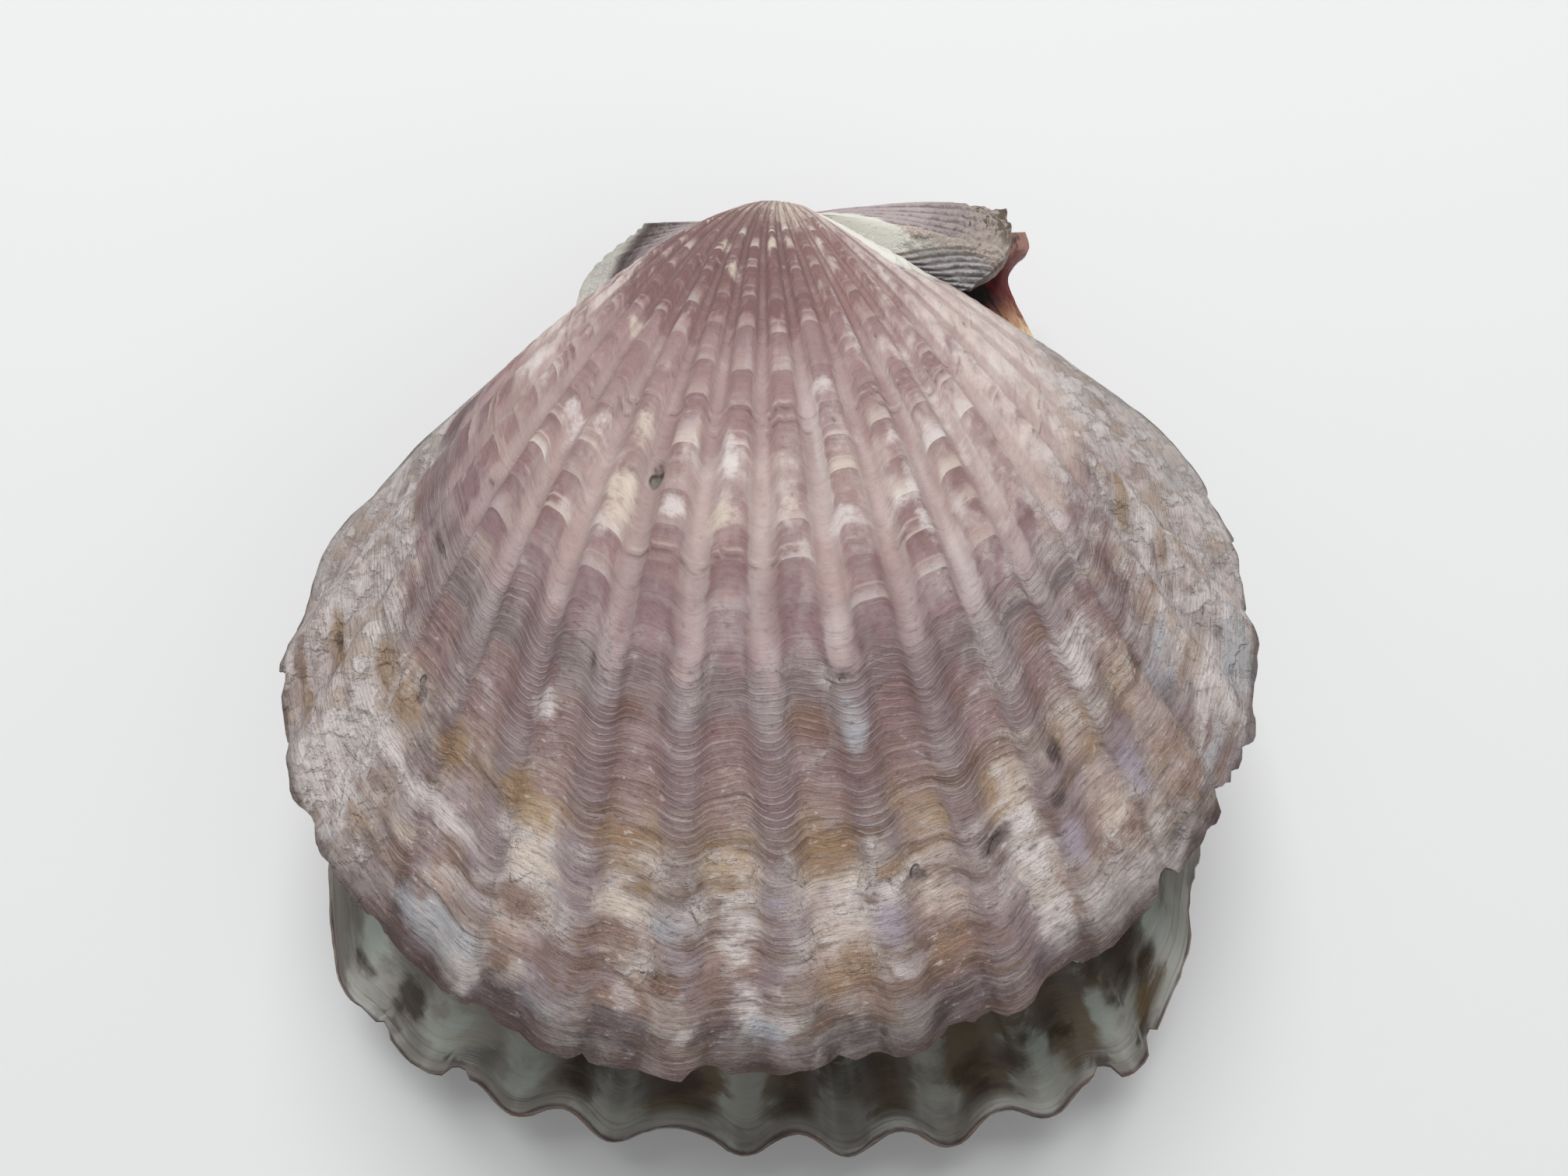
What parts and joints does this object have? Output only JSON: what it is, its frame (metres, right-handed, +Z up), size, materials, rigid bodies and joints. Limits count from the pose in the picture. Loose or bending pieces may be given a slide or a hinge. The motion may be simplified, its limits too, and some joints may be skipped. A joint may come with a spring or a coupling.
{
  "type": "gaping scallop shell pair",
  "caption": "Dried ribbed scallop shell, both valves joined at the hinge and gaping, worn upper margin, notched ear, lying on its lower dome.",
  "frame": {"origin": "centre of the shell's footprint, on the surface that it lies on", "axes": "+Z up, +Y towards the hinge and the ears, +X towards the notched ear"},
  "size_m": [0.1506, 0.1622, 0.0806],
  "materials": {
    "upper_shell": "mauve and cream growth bands, grey layered edge, dull satin",
    "lower_shell": "grey-white with umber patches inside, mauve and cream outside, satin",
    "ligament": "dark dried horn"
  },
  "bodies": {
    "root": {"upper_valve": "upper_shell", "lower_valve": "lower_shell", "hinge_ligament": "ligament"}
  },
  "joints": []
}
